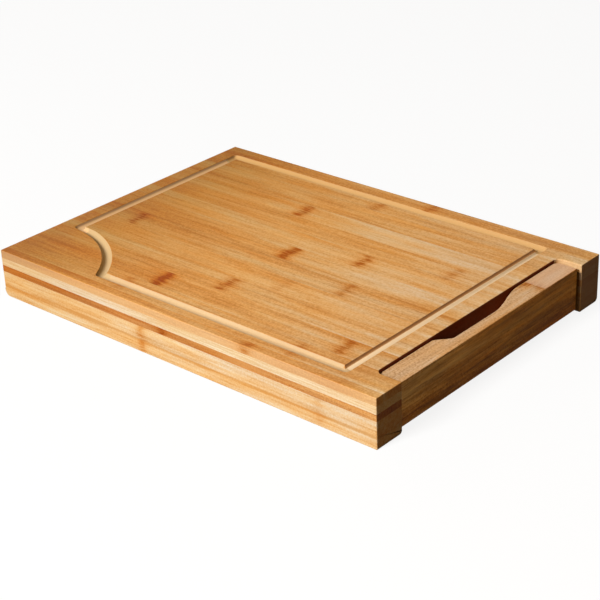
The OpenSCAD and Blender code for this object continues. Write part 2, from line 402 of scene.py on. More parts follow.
class Shading:
    """Short calls for the nodes of one material."""

    def __init__(self, name: str) -> None:
        """Starts a material with a Principled shader.

        Args:
            name: name of the material.
        """
        self.material = bpy.data.materials.new(name)
        self.material.use_nodes = True
        self.tree = self.material.node_tree
        self.shader = self.tree.nodes["Principled BSDF"]

    def _feed(self, socket: Socket, value: object) -> None:
        """Links a socket, or sets it to a value.

        Args:
            socket: the input.
            value: an output to link, or the value to set.
        """
        if isinstance(value, bpy.types.NodeSocket):
            self.tree.links.new(value, socket)
        else:
            socket.default_value = value

    def math(self, operation: str, first: Feed, second: Feed = 0.0, third: Feed = 0.0) -> Socket:
        """A Math node.

        Args:
            operation: name of the operation.
            first: first value.
            second: second value.
            third: third value.

        Returns:
            The result.
        """
        node = self.tree.nodes.new("ShaderNodeMath")
        node.operation = operation
        for socket, value in zip(node.inputs, (first, second, third)):
            self._feed(socket, value)
        return node.outputs[0]

    def add(self, *values: Feed) -> Socket:
        """Sum of several values.

        Args:
            values: what is summed.

        Returns:
            The sum.
        """
        total = values[0]
        for value in values[1:]:
            total = self.math("ADD", total, value)
        return total

    def times(self, first: Feed, second: Feed) -> Socket:
        """Product of two values."""
        return self.math("MULTIPLY", first, second)

    def swing(self, value: Socket, amount: float) -> Socket:
        """A noise value about one half, turned into a swing about zero."""
        return self.math("MULTIPLY_ADD", value, amount, -amount / 2)

    def fade(self, value: Feed, start: Feed, end: Feed) -> Socket:
        """A smooth rise from 0 at start to 1 at end.

        Args:
            value: the value to place.
            start: where the rise begins.
            end: where it ends.

        Returns:
            The risen value.
        """
        node = self.tree.nodes.new("ShaderNodeMapRange")
        node.interpolation_type = "SMOOTHSTEP"
        self._feed(node.inputs["Value"], value)
        self._feed(node.inputs["From Min"], start)
        self._feed(node.inputs["From Max"], end)
        return node.outputs["Result"]

    def bell(self, value: Feed, width: float) -> Socket:
        """One at nought, falling softly to either side over about the width."""
        ratio = self.math("DIVIDE", value, width)
        return self.math("EXPONENT", self.times(self.times(ratio, ratio), -1.0))

    def vector(self, first: Feed, second: Feed, third: Feed) -> Socket:
        """A vector from three values.

        Args:
            first: first part.
            second: second part.
            third: third part.

        Returns:
            The vector.
        """
        node = self.tree.nodes.new("ShaderNodeCombineXYZ")
        for socket, value in zip(node.inputs, (first, second, third)):
            self._feed(socket, value)
        return node.outputs[0]

    def split(self, value: Socket) -> list[Socket]:
        """The three parts of a vector or colour.

        Args:
            value: the vector or colour.

        Returns:
            Its parts, in order.
        """
        node = self.tree.nodes.new("ShaderNodeSeparateXYZ")
        self._feed(node.inputs[0], value)
        return list(node.outputs)

    def noise(self, place: Socket, detail: float, roughness: float) -> Socket:
        """A noise value about one half.

        Args:
            place: place in the pattern, already scaled.
            detail: octaves.
            roughness: share of the finer octaves.

        Returns:
            The noise value.
        """
        node = self.tree.nodes.new("ShaderNodeTexNoise")
        self._feed(node.inputs["Vector"], place)
        node.inputs["Scale"].default_value = 1.0
        node.inputs["Detail"].default_value = detail
        node.inputs["Roughness"].default_value = roughness
        return node.outputs["Fac"]

    def lottery(self, place: Socket) -> list[Socket]:
        """Three random values that depend only on a place.

        Args:
            place: the place.

        Returns:
            The random values.
        """
        node = self.tree.nodes.new("ShaderNodeTexWhiteNoise")
        self._feed(node.inputs["Vector"], place)
        return self.split(node.outputs["Color"])

    def ramp(self, value: Socket, stops: Sequence[tuple[float, Colour]], steps: bool = False) -> Socket:
        """A colour ramp.

        Args:
            value: place on the ramp.
            stops: positions with their colours.
            steps: true for plain steps from stop to stop.

        Returns:
            The colour.
        """
        node = self.tree.nodes.new("ShaderNodeValToRGB")
        scale = node.color_ramp
        scale.interpolation = "CONSTANT" if steps else "LINEAR"
        for number, (position, colour) in enumerate(stops):
            stop = scale.elements[number] if number < 2 else scale.elements.new(position)
            stop.position = position
            stop.color = (*colour, 1.0)
        self._feed(node.inputs["Fac"], value)
        return node.outputs["Color"]

    def blend(self, share: Feed, first: Socket, second: Union[Socket, Colour], way: str = "MIX") -> Socket:
        """Mixes two colours.

        Args:
            share: share of the second colour.
            first: first colour.
            second: second colour.
            way: name of the blend type.

        Returns:
            The mixed colour.
        """
        node = self.tree.nodes.new("ShaderNodeMix")
        node.data_type = "RGBA"
        node.blend_type = way
        self._feed(node.inputs["Factor"], share)
        self._feed(node.inputs[6], first)
        colour = second if isinstance(second, bpy.types.NodeSocket) else (*second, 1.0)
        self._feed(node.inputs[7], colour)
        return node.outputs[2]

    def place(self) -> list[Socket]:
        """The place on the piece along the three directions, in metres."""
        node = self.tree.nodes.new("ShaderNodeTexCoord")
        return self.split(node.outputs["Object"])

    def facing(self) -> list[Socket]:
        """The three parts of the piece's own surface direction."""
        node = self.tree.nodes.new("ShaderNodeTexCoord")
        return self.split(node.outputs["Normal"])

    def surface(self, colour: Socket, roughness: Socket, height: Socket, depth: float) -> None:
        """Feeds the shader.

        Args:
            colour: base colour.
            roughness: roughness.
            height: height of the relief.
            depth: depth of the relief at a height of one, in metres.
        """
        bump = self.tree.nodes.new("ShaderNodeBump")
        bump.inputs["Strength"].default_value = 1.0
        bump.inputs["Distance"].default_value = depth
        self._feed(bump.inputs["Height"], height)
        self._feed(self.shader.inputs["Base Color"], colour)
        self._feed(self.shader.inputs["Roughness"], roughness)
        self._feed(self.shader.inputs["Normal"], bump.outputs["Normal"])


@dataclass(frozen=True)
class Pattern:
    """A noise that is drawn out along the grain.

    slow and fast are its repeats per metre along the grain and across it.
    """

    slow: float
    fast: float
    octaves: float
    roughness: float

    def draw(self, made: Shading, along: Socket, side: Socket, through: Socket) -> Socket:
        """Adds the noise to a material.

        Args:
            made: the material in the making.
            along: place along the grain.
            side: place across the strips.
            through: place through the thickness.

        Returns:
            The noise value, about one half.
        """
        place = made.vector(
            made.times(along, self.slow), made.times(side, self.fast), made.times(through, self.fast)
        )
        return made.noise(place, self.octaves, self.roughness)


# The noises of the bamboo finishes.
FIBRE = Pattern(24.0, 800.0, 3.0, 0.65)
STREAK = Pattern(12.0, 300.0, 2.0, 0.55)
DRIFT = Pattern(4.0, 60.0, 2.0, 0.5)
HUE = Pattern(14.0, 90.0, 2.0, 0.6)
SPECKLE = Pattern(600.0, 600.0, 1.0, 0.5)
PORES = Pattern(110.0, 2300.0, 1.0, 0.5)
BOLD = Pattern(14.0, 190.0, 4.0, 0.75)
WAVE = Pattern(20.0, 110.0, 2.0, 0.6)
THREADS = Pattern(70.0, 620.0, 3.0, 0.65)

# What all bamboo finishes share.
STRIP_JUMP = 7.0
PORE_LIMITS = (0.6, 0.74)
PORE_SHARE = 0.15
PORE_ROUGHNESS = 0.1
PORE_RELIEF = 0.5
SEAM_WIDTH = 0.3 * MM
SEAM_SHARE = 0.14
TURNED = (0.5, 0.9)
CROSSCUT = (0.6, 0.9)
CUT_AND_SHADE_RIM = (0.05 * MM, 0.5 * MM)
BAND_WAVE = 5.0 * MM
TINT_WAVE = 24.0 * MM
RELIEF = 0.08 * MM
ROUGHNESS = (0.22, 0.40)
DRIFT_WARMTH = 0.5
TONES = (0.08, 0.5, 0.92)
KNUCKLE_RIM = (-0.02, 0.08)
THREAD_LIMITS = (0.36, 0.64)
CORE_THREADS = (0.85, 0.3)
HALO_THREADS = (0.45, 0.6)
HUES = ((0.36, (1.0, 0.85, 0.58)), (0.5, (1.0, 1.0, 1.0)), (0.64, (0.95, 1.11, 1.48)))
SHADES = ((0.3, (0.3, 0.23, 0.13)), (0.5, (0.95, 0.93, 0.8)), (0.7, (1.6, 1.65, 1.5)))


@dataclass(frozen=True)
class Knuckle:
    """A dark joint of the cane across one strip.

    strip is the strip's number, at the place along the grain in metres, depth how dark it is.
    """

    strip: int
    at: float
    depth: float = 1.0


@dataclass(frozen=True)
class Band:
    """A level of the piece that is lighter or darker all along: on the rails the wood's own streaks, on the
    drawer front a painted shade gradient.

    height is in metres, shift the change of tone.
    """

    height: float
    shift: float


@dataclass(frozen=True)
class Tint:
    """A colour that the wood is multiplied by, at a place along the grain in metres; partly the wood's
    tone, partly painted light falloff.
    """

    at: float
    colour: Colour


@dataclass(frozen=True)
class CutAndShade:
    """A colour laid on the wood inside the given margins, below a given height: freshly cut wood in the
    juice groove, a paler patch on the drawer front, and painted shade in the slot, the far gap, the far
    rail ends, on a groove wall and in the finger recess.

    top, bottom, middle, half_length, centre and half_width are in metres.
    share is how far the colour goes over.
    """

    colour: Colour = (0.56, 0.425, 0.25)
    top: float = 44.0 * MM
    bottom: float = 0.0
    middle: float = -13.0 * MM
    half_length: float = 188.0 * MM
    centre: float = 0.0
    half_width: float = 142.0 * MM
    share: float = 0.75


# Painted shade on the cut faces at the drawer's end of the board.
# The wall of the opening under the panel's edge, painted dark red-brown as the shade that fills the slot.
SLOT_WALL_SHADE = CutAndShade(
    colour=(0.20, 0.022, 0.009),
    middle=186.0 * MM,
    half_length=1.2 * MM,
    half_width=118.0 * MM,
    share=0.9,
)
# The far rail's inner face in the gap beside the drawer front, painted near-black below 37.5 mm as the
# drawer front's shadow.
FAR_WALL_SHADE = CutAndShade(
    colour=(0.05, 0.014, 0.004),
    top=37.5 * MM,
    middle=198.0 * MM,
    half_length=11.6 * MM,
    centre=122.5 * MM,
    half_width=0.5 * MM,
    share=0.85,
)
# The end faces of the far block beside the drawer, painted darker as the shade that falls there; on the
# dark strip the same patch gives a duller brown.
FAR_END_SHADE = CutAndShade(
    colour=(0.37, 0.21, 0.085),
    top=44.1 * MM,
    middle=210.0 * MM,
    half_length=0.3 * MM,
    centre=136.3 * MM,
    half_width=14.0 * MM,
    share=0.8,
)
FAR_STRIPE_SHADE = replace(FAR_END_SHADE, colour=(0.56, 0.36, 0.15))


@dataclass(frozen=True)
class Bamboo:
    """Oiled bamboo glued from strips, with fibres, glue lines and knuckles.

    The tints follow the grain. With a figure, a bold pattern and the tints show on the end face alone.
    """

    name: str
    pale: Colour
    honey: Colour
    tan: Colour
    grain: Axis = Axis.LENGTH
    across: Axis = Axis.WIDTH
    strip: float = 25.0 * MM
    first_edge: float = 8.0 * MM
    layer: float = 7.0 * MM
    layer_edge: float = 2.0 * MM
    seed: float = 0.0
    strip_swing: float = 0.30
    fibre_swing: float = 1.0
    streak_swing: float = 0.8
    drift_swing: float = 0.9
    speckle_swing: float = 0.85
    hue_share: float = 0.9
    figure: float = 0.0
    bands: tuple[Band, ...] = ()
    tints: tuple[Tint, ...] = ()
    side_tint: Colour = (0.62, 0.42, 0.24)
    side_share: float = 0.0
    # Zones of freshly cut wood, and zones of painted shade.
    cut_and_shade: tuple[CutAndShade, ...] = ()
    joint: Colour = (0.30, 0.058, 0.004)
    halo: Colour = (0.93, 0.71, 0.39)
    core: Colour = (0.60, 0.33, 0.04)
    core_width: float = 4.5 * MM
    halo_width: float = 9.0 * MM
    fray: float = 8.0 * MM
    bow: float = 11.0 * MM
    knuckles: tuple[Knuckle, ...] = ()
    marked: tuple[Axis, Axis] = (Axis.HEIGHT, Axis.WIDTH)
    end_tint: Colour = (0.60, 0.57, 0.60)
    gloss: float = 0.03
    reach: float = 0.25

    def build(self) -> bpy.types.Material:
        """Makes the material.

        Returns:
            The finished material.
        """
        made = Shading(self.name)
        place = made.place()
        facing = [made.math("ABSOLUTE", part) for part in made.facing()]
        third = ({0, 1, 2} - {self.grain.value, self.across.value}).pop()
        along = place[self.grain.value]
        side = place[self.across.value]
        through = place[third]
        strips = made.math("DIVIDE", made.math("SUBTRACT", side, self.first_edge), self.strip)
        number = made.math("FLOOR", strips)
        layers = made.math("DIVIDE", made.math("SUBTRACT", through, self.layer_edge), self.layer)
        luck = made.lottery(made.vector(number, made.math("FLOOR", layers), self.seed))
        spot = (made.math("MULTIPLY_ADD", luck[0], STRIP_JUMP, along), side, through)

        fibre = FIBRE.draw(made, *spot)
        streak = STREAK.draw(made, *spot)
        drift = DRIFT.draw(made, *spot)
        hue = HUE.draw(made, *spot)
        speckle = SPECKLE.draw(made, *place)
        pores = made.fade(PORES.draw(made, *spot), *PORE_LIMITS)

        tone = made.add(
            0.5,
            made.swing(luck[1], self.strip_swing),
            made.swing(fibre, self.fibre_swing),
            made.swing(streak, self.streak_swing),
            made.swing(drift, self.drift_swing),
            made.swing(speckle, self.speckle_swing),
        )
        if self.bands:
            tone = made.add(tone, self._band_shift(made, place[2], drift))
        colour = made.ramp(tone, list(zip(TONES, (self.tan, self.honey, self.pale))))
        colour = made.blend(made.times(pores, PORE_SHARE), colour, self.joint)
        warmth = made.add(made.times(hue, 1.0 - DRIFT_WARMTH), made.times(drift, DRIFT_WARMTH))
        colour = made.blend(self.hue_share, colour, made.ramp(warmth, HUES), "MULTIPLY")
        outward = made.times(made.fade(facing[0], *TURNED), self.figure) if self.figure > 0.0 else 1.0
        if self.tints:
            colour = made.blend(outward, colour, self._tint(made, along, drift), "MULTIPLY")
        if self.figure > 0.0:
            shades = made.ramp(BOLD.draw(made, *spot), SHADES)
            colour = made.blend(outward, colour, shades, "MULTIPLY")
        if self.side_share > 0.0:
            sideways = made.times(made.fade(facing[1], *TURNED), self.side_share)
            colour = made.blend(sideways, colour, self.side_tint)

        if self.knuckles:
            turned = made.math("MAXIMUM", *[facing[axis.value] for axis in self.marked])
            shown = made.fade(turned, *TURNED)
            core, glow = self._knuckle_masks(made, strips, along, side, through, streak)
            colour = made.blend(made.times(glow, shown), colour, self.halo, "MULTIPLY")
            colour = made.blend(made.times(core, shown), colour, self.core, "MULTIPLY")

        edge = made.math("PINGPONG", strips, 0.5)
        seam = made.math("SUBTRACT", 1.0, made.fade(edge, 0.0, SEAM_WIDTH / self.strip))
        colour = made.blend(made.times(seam, SEAM_SHARE), colour, self.joint)

        # Zones laid over the wood: freshly cut wood, a paler patch, and painted shade.
        for cut_and_shade in self.cut_and_shade:
            colour = made.blend(self._cut_and_shade_mask(made, cut_and_shade, place), colour, cut_and_shade.colour)
        cut = made.fade(facing[self.grain.value], *CROSSCUT)
        colour = made.blend(cut, colour, self.end_tint, "MULTIPLY")

        base = made.math("MULTIPLY_ADD", fibre, *ROUGHNESS)
        roughness = made.add(base, made.times(pores, PORE_ROUGHNESS))
        relief = made.math("SUBTRACT", fibre, made.times(pores, PORE_RELIEF))
        made.surface(colour, roughness, relief, RELIEF)
        made.shader.inputs["Specular IOR Level"].default_value = self.gloss
        return made.material

    def _band_shift(self, made: Shading, height: Socket, drift: Socket) -> Socket:
        """Change of tone by height on the piece, with wavy limits.

        Args:
            made: the material in the making.
            height: height on the piece.
            drift: slow noise, which makes the limits wave.

        Returns:
            The change of tone.
        """
        base = self.bands[0].height
        span = self.bands[-1].height - base
        wavy = made.add(height, made.swing(drift, BAND_WAVE))
        level = made.math("DIVIDE", made.math("SUBTRACT", wavy, base), span)
        stops = []
        for band in self.bands:
            grey = 0.5 + band.shift / 2
            stops.append(((band.height - base) / span, (grey, grey, grey)))
        return made.math("MULTIPLY_ADD", made.split(made.ramp(level, stops))[0], 2.0, -1.0)

    def _tint(self, made: Shading, along: Socket, drift: Socket) -> Socket:
        """The colour that the wood is multiplied by, which changes along the grain.

        Args:
            made: the material in the making.
            along: place along the grain.
            drift: slow noise, which makes the change uneven.

        Returns:
            The colour.
        """
        base = self.tints[0].at
        span = self.tints[-1].at - base
        uneven = made.add(along, made.swing(drift, TINT_WAVE))
        share = made.math("DIVIDE", made.math("SUBTRACT", uneven, base), span)
        return made.ramp(share, [((tint.at - base) / span, tint.colour) for tint in self.tints])

    def _cut_and_shade_mask(self, made: Shading, cut_and_shade: CutAndShade, place: Sequence[Socket]) -> Socket:
        """One on wood that lies below the surface, inside the margins.

        Args:
            made: the material in the making.
            cut_and_shade: the margins.
            place: place on the piece.

        Returns:
            The mask.
        """
        depth = made.math("SUBTRACT", cut_and_shade.top, place[2])
        above = made.math("GREATER_THAN", place[2], cut_and_shade.bottom)
        deep = made.times(made.fade(depth, *CUT_AND_SHADE_RIM), above)
        lengthways = made.math("COMPARE", place[0], cut_and_shade.middle, cut_and_shade.half_length)
        sideways = made.math("COMPARE", place[1], cut_and_shade.centre, cut_and_shade.half_width)
        return made.times(made.times(deep, cut_and_shade.share), made.times(lengthways, sideways))

    def _knuckle_masks(
        self, made: Shading, strips: Socket, along: Socket, side: Socket, through: Socket, streak: Socket
    ) -> tuple[Socket, Socket]:
        """How strongly each point lies in a knuckle.

        Args:
            made: the material in the making.
            strips: place across the strips, counted in strips.
            along: place along the grain.
            side: place across the strips, in metres.
            through: place through the thickness.
            streak: fibre noise, which frays the ends.

        Returns:
            The mask of the dark core, and that of the glow round it.
        """
        lowest = min(knuckle.strip for knuckle in self.knuckles)
        count = max(knuckle.strip for knuckle in self.knuckles) - lowest + 1
        rows: dict[int, list[Knuckle]] = {lowest + step: [] for step in range(count)}
        for knuckle in self.knuckles:
            rows[knuckle.strip].append(knuckle)
        number = made.math("FLOOR", strips)
        slot = made.math("DIVIDE", made.add(number, 0.5 - lowest), float(count))
        inside = made.math("COMPARE", slot, 0.5, 0.5)
        wave = WAVE.draw(made, along, side, through)
        frayed = made.add(along, made.swing(streak, self.fray), made.swing(wave, self.bow))
        core: Feed = 0.0
        glow: Feed = 0.0
        for rank in range(max(len(row) for row in rows.values())):
            stops = []
            for step in range(count):
                row = rows[lowest + step]
                at, depth = (row[rank].at, row[rank].depth) if rank < len(row) else (0.0, 0.0)
                stops.append((step / count, (0.5 + at / 2 / self.reach, depth / 2, 0.0)))
            found = made.split(made.ramp(slot, stops, steps=True))
            centre = made.math("MULTIPLY_ADD", found[0], 2 * self.reach, -self.reach)
            gap = made.math("SUBTRACT", frayed, centre)
            strength = made.times(made.times(found[1], 2.0), inside)
            core = made.math("MAXIMUM", core, made.times(made.bell(gap, self.core_width), strength))
            glow = made.math("MAXIMUM", glow, made.times(made.bell(gap, self.halo_width), strength))
        rim = made.fade(made.math("PINGPONG", strips, 0.5), *KNUCKLE_RIM)
        grainy = made.fade(THREADS.draw(made, along, side, through), *THREAD_LIMITS)
        core = made.times(made.times(core, rim), made.math("MULTIPLY_ADD", grainy, *CORE_THREADS))
        glow = made.times(made.times(glow, rim), made.math("MULTIPLY_ADD", grainy, *HALO_THREADS))
        return core, glow


@dataclass(frozen=True)
class Mottled:
    """A plain finish of hidden fittings, mottled by one noise.

    repeats are those of the noise per metre.
    roughness holds what the noise adds and what is there without it.
    """

    name: str
    dark: Colour
    light: Colour
    repeats: tuple[float, float, float]
    roughness: tuple[float, float]
    relief: float
    metallic: float = 0.0
    octaves: float = 3.0
    fineness: float = 0.6
    limits: tuple[float, float] = (0.3, 0.7)

    def build(self) -> bpy.types.Material:
        """Makes the material.

        Returns:
            The finished material.
        """
        made = Shading(self.name)
        pattern = made.vector(*[made.times(part, scale) for part, scale in zip(made.place(), self.repeats)])
        cloud = made.noise(pattern, self.octaves, self.fineness)
        colour = made.ramp(cloud, list(zip(self.limits, (self.dark, self.light))))
        made.surface(colour, made.math("MULTIPLY_ADD", cloud, *self.roughness), cloud, self.relief)
        made.shader.inputs["Metallic"].default_value = self.metallic
        return made.material


@dataclass(frozen=True)
class Finishes:
    """All finishes of the board and its drawer."""

    top: Bamboo = Bamboo(
        name="bamboo_top",
        pale=(0.78, 0.55, 0.30),
        honey=(0.69, 0.42, 0.173),
        tan=(0.52, 0.262, 0.083),
        # Darker and warmer toward the closed end: partly the wood's own tone, partly painted light falloff.
        tints=(
            Tint(-195.0 * MM, (0.62, 0.42, 0.17)),
            Tint(-155.0 * MM, (0.76, 0.54, 0.235)),
            Tint(-85.0 * MM, (0.91, 0.70, 0.42)),
            Tint(-15.0 * MM, (0.99, 0.81, 0.565)),
            Tint(55.0 * MM, (1.0, 0.86, 0.68)),
            Tint(125.0 * MM, (1.0, 0.885, 0.77)),
            Tint(170.0 * MM, (0.96, 0.87, 0.80)),
            Tint(200.0 * MM, (1.03, 1.08, 1.20)),
        ),
        fibre_swing=0.8,
        side_tint=(0.66, 0.485, 0.305),
        side_share=0.32,
        cut_and_shade=(
            CutAndShade(),
            CutAndShade((0.54, 0.37, 0.175), middle=-155.0 * MM, half_length=60.0 * MM, share=0.7),
            CutAndShade((0.525, 0.29, 0.095), centre=131.0 * MM, half_width=9.0 * MM),
            CutAndShade((0.77, 0.49, 0.25), middle=-190.0 * MM, half_length=9.0 * MM, half_width=120.0 * MM),
            CutAndShade((0.84, 0.64, 0.41), middle=165.0 * MM, half_length=6.0 * MM, half_width=125.0 * MM),
            # A narrow band on the steep wall of the right groove run, painted dark red-brown as the shade
            # on that wall.
            CutAndShade((0.50, 0.20, 0.04), middle=161.1 * MM, half_length=1.0 * MM, half_width=127.0 * MM),
            SLOT_WALL_SHADE,
            FAR_END_SHADE,
        ),
        knuckles=(
            Knuckle(5, 41.0 * MM, 0.7),
            Knuckle(4, -2.5 * MM, 0.65),
            Knuckle(2, -50.0 * MM, 1.1),
            Knuckle(1, 134.5 * MM, 0.5),
            Knuckle(0, 60.0 * MM, 0.9),
            Knuckle(-1, -2.0 * MM, 1.7),
            Knuckle(-2, 82.0 * MM, 0.55),
            Knuckle(-2, -161.0 * MM, 0.9),
            Knuckle(-3, 34.5 * MM, 0.25),
            Knuckle(-3, -202.0 * MM, 0.4),
            Knuckle(-4, -3.5 * MM, 0.9),
            Knuckle(-5, -54.0 * MM, 1.9),
            Knuckle(-5, 143.0 * MM, 0.85),
            Knuckle(-6, -75.0 * MM, 0.4),
            Knuckle(-6, 116.0 * MM, 0.4),
            Knuckle(-7, 82.0 * MM, 0.7),
        ),
    )
    pale: Bamboo = Bamboo(
        name="bamboo_pale",
        pale=(0.745, 0.605, 0.41),
        honey=(0.705, 0.535, 0.335),
        tan=(0.63, 0.425, 0.225),
        # Darker toward the closed end, lightest near the middle: partly the wood's tone, partly painted
        # light falloff.
        tints=(
            Tint(-157.0 * MM, (0.91, 0.83, 0.69)),
            Tint(-55.0 * MM, (1.0, 1.01, 1.04)),
            Tint(50.0 * MM, (1.06, 1.13, 1.18)),
            Tint(150.0 * MM, (1.04, 1.04, 1.02)),
        ),
        hue_share=0.45,
        fibre_swing=2.8,
        streak_swing=1.0,
        cut_and_shade=(SLOT_WALL_SHADE, FAR_WALL_SHADE, FAR_END_SHADE),
        seed=3.0,
    )
    dark: Bamboo = Bamboo(
        name="bamboo_dark",
        pale=(0.685, 0.38, 0.14),
        honey=(0.56, 0.265, 0.08),
        tan=(0.373, 0.135, 0.034),
        # Darker toward the closed end: partly the wood's tone, partly painted light falloff.
        tints=(
            Tint(-157.0 * MM, (0.665, 0.43, 0.23)),
            Tint(-55.0 * MM, (0.80, 0.605, 0.44)),
            Tint(50.0 * MM, (0.80, 0.54, 0.29)),
            Tint(150.0 * MM, (1.04, 1.0, 0.92)),
        ),
        streak_swing=1.2,
        drift_swing=1.7,
        end_tint=(0.40, 0.33, 0.30),
        cut_and_shade=(FAR_WALL_SHADE, FAR_STRIPE_SHADE),
        knuckles=(Knuckle(-7, -12.0 * MM, 0.8),),
        seed=5.0,
    )
    rail: Bamboo = Bamboo(
        name="bamboo_rail",
        pale=(0.76, 0.60, 0.37),
        honey=(0.72, 0.475, 0.235),
        tan=(0.60, 0.32, 0.11),
        # Darker toward the closed end, lightest near the middle: partly the wood's tone, partly painted
        # light falloff.
        tints=(
            Tint(-157.0 * MM, (0.92, 0.84, 0.7)),
            Tint(-55.0 * MM, (0.99, 0.99, 0.98)),
            Tint(50.0 * MM, (1.0, 1.02, 1.06)),
            Tint(150.0 * MM, (0.97, 0.94, 0.90)),
        ),
        layer=13.0 * MM,
        layer_edge=11.0 * MM,
        fibre_swing=1.3,
        streak_swing=1.2,
        drift_swing=0.4,
        end_tint=(0.55, 0.50, 0.48),
        cut_and_shade=(FAR_WALL_SHADE, FAR_END_SHADE),
        halo=(0.95, 0.82, 0.62),
        core=(0.85, 0.62, 0.38),
        knuckles=(Knuckle(-7, -36.0 * MM, 0.9), Knuckle(-7, 155.0 * MM, 0.4)),
        seed=7.0,
        bands=(
            Band(0.0 * MM, 0.0),
            Band(3.0 * MM, 0.1),
            Band(8.0 * MM, 0.05),
            Band(9.8 * MM, -0.36),
            Band(11.0 * MM, -0.36),
            Band(12.5 * MM, 0.0),
            Band(16.0 * MM, 0.0),
            Band(18.0 * MM, 0.13),
            Band(24.0 * MM, 0.13),
        ),
    )
    front: Bamboo = Bamboo(
        name="bamboo_front",
        pale=(0.70, 0.435, 0.22),
        honey=(0.62, 0.35, 0.15),
        tan=(0.445, 0.215, 0.076),
        grain=Axis.WIDTH,
        across=Axis.LENGTH,
        strip=21.1 * MM,
        first_edge=186.4 * MM,
        layer=19.0 * MM,
        layer_edge=3.0 * MM,
        fibre_swing=1.4,
        streak_swing=0.9,
        drift_swing=1.2,
        speckle_swing=1.7,
        # On the outer face, greyer near and darker, more orange far: the hue is the wood's tone, the
        # darkening toward the far side is painted shade.
        tints=(
            Tint(-77.0 * MM, (1.03, 1.10, 1.20)),
            Tint(0.0, (0.94, 0.85, 0.66)),
            Tint(77.0 * MM, (0.87, 0.76, 0.50)),
        ),
        hue_share=1.0,
        figure=1.0,
        seed=41.0,
        # Darker toward the bottom and lighter near the top of the front: painted shade, from the floor up.
        bands=(
            Band(3.0 * MM, -0.5),
            Band(12.0 * MM, -0.2),
            Band(30.0 * MM, 0.2),
            Band(38.0 * MM, 0.2),
            Band(41.0 * MM, 0.0),
        ),
        cut_and_shade=(
            CutAndShade(
                colour=(0.73, 0.49, 0.33),
                top=42.2 * MM,
                middle=197.0 * MM,
                half_length=10.0 * MM,
                centre=97.0 * MM,
                half_width=24.0 * MM,
                share=0.52,
            ),
            # The finger recess, painted darker as the shade inside it.
            CutAndShade(
                colour=(0.40, 0.20, 0.08),
                top=41.5 * MM,
                bottom=19.3 * MM,
                middle=192.2 * MM,
                half_length=5.6 * MM,
                half_width=61.0 * MM,
                share=0.6,
            ),
        ),
        knuckles=(Knuckle(0, 72.0 * MM, 0.8),),
    )
    box: Bamboo = Bamboo(
        name="bamboo_box",
        pale=(0.76, 0.56, 0.33),
        honey=(0.70, 0.46, 0.23),
        tan=(0.58, 0.33, 0.13),
        strip=12.0 * MM,
        layer=14.0 * MM,
        seed=11.0,
    )
    cross: Bamboo = replace(
        box,
        name="bamboo_cross",
        grain=Axis.WIDTH,
        across=Axis.LENGTH,
        strip=20.0 * MM,
        first_edge=-210.0 * MM,
        layer=21.0 * MM,
        layer_edge=3.0 * MM,
        seed=13.0,
    )
    cross_box: Bamboo = replace(
        box,
        name="bamboo_cross_box",
        grain=Axis.WIDTH,
        across=Axis.LENGTH,
        strip=10.0 * MM,
        first_edge=-188.0 * MM,
        seed=15.0,
    )
    sheet: Bamboo = Bamboo(
        name="bamboo_bottom",
        pale=(0.80, 0.60, 0.36),
        honey=(0.74, 0.51, 0.27),
        tan=(0.63, 0.38, 0.16),
        strip=20.0 * MM,
        hue_share=0.5,
        seed=17.0,
    )
    dowel: Mottled = Mottled(
        name="dowel_wood",
        dark=(0.42, 0.25, 0.11),
        light=(0.62, 0.42, 0.23),
        repeats=(500.0, 500.0, 60.0),
        roughness=(0.2, 0.5),
        relief=0.1 * MM,
    )
    steel: Mottled = Mottled(
        name="screw_steel",
        dark=(0.42, 0.41, 0.39),
        light=(0.66, 0.65, 0.62),
        repeats=(900.0, 900.0, 900.0),
        roughness=(0.25, 0.2),
        relief=0.03 * MM,
        metallic=1.0,
    )


def dress(obj: bpy.types.Object, material: bpy.types.Material) -> None:
    """Gives an object one material.

    Args:
        obj: the object.
        material: its material.
    """
    obj.data.materials.clear()
    obj.data.materials.append(material)


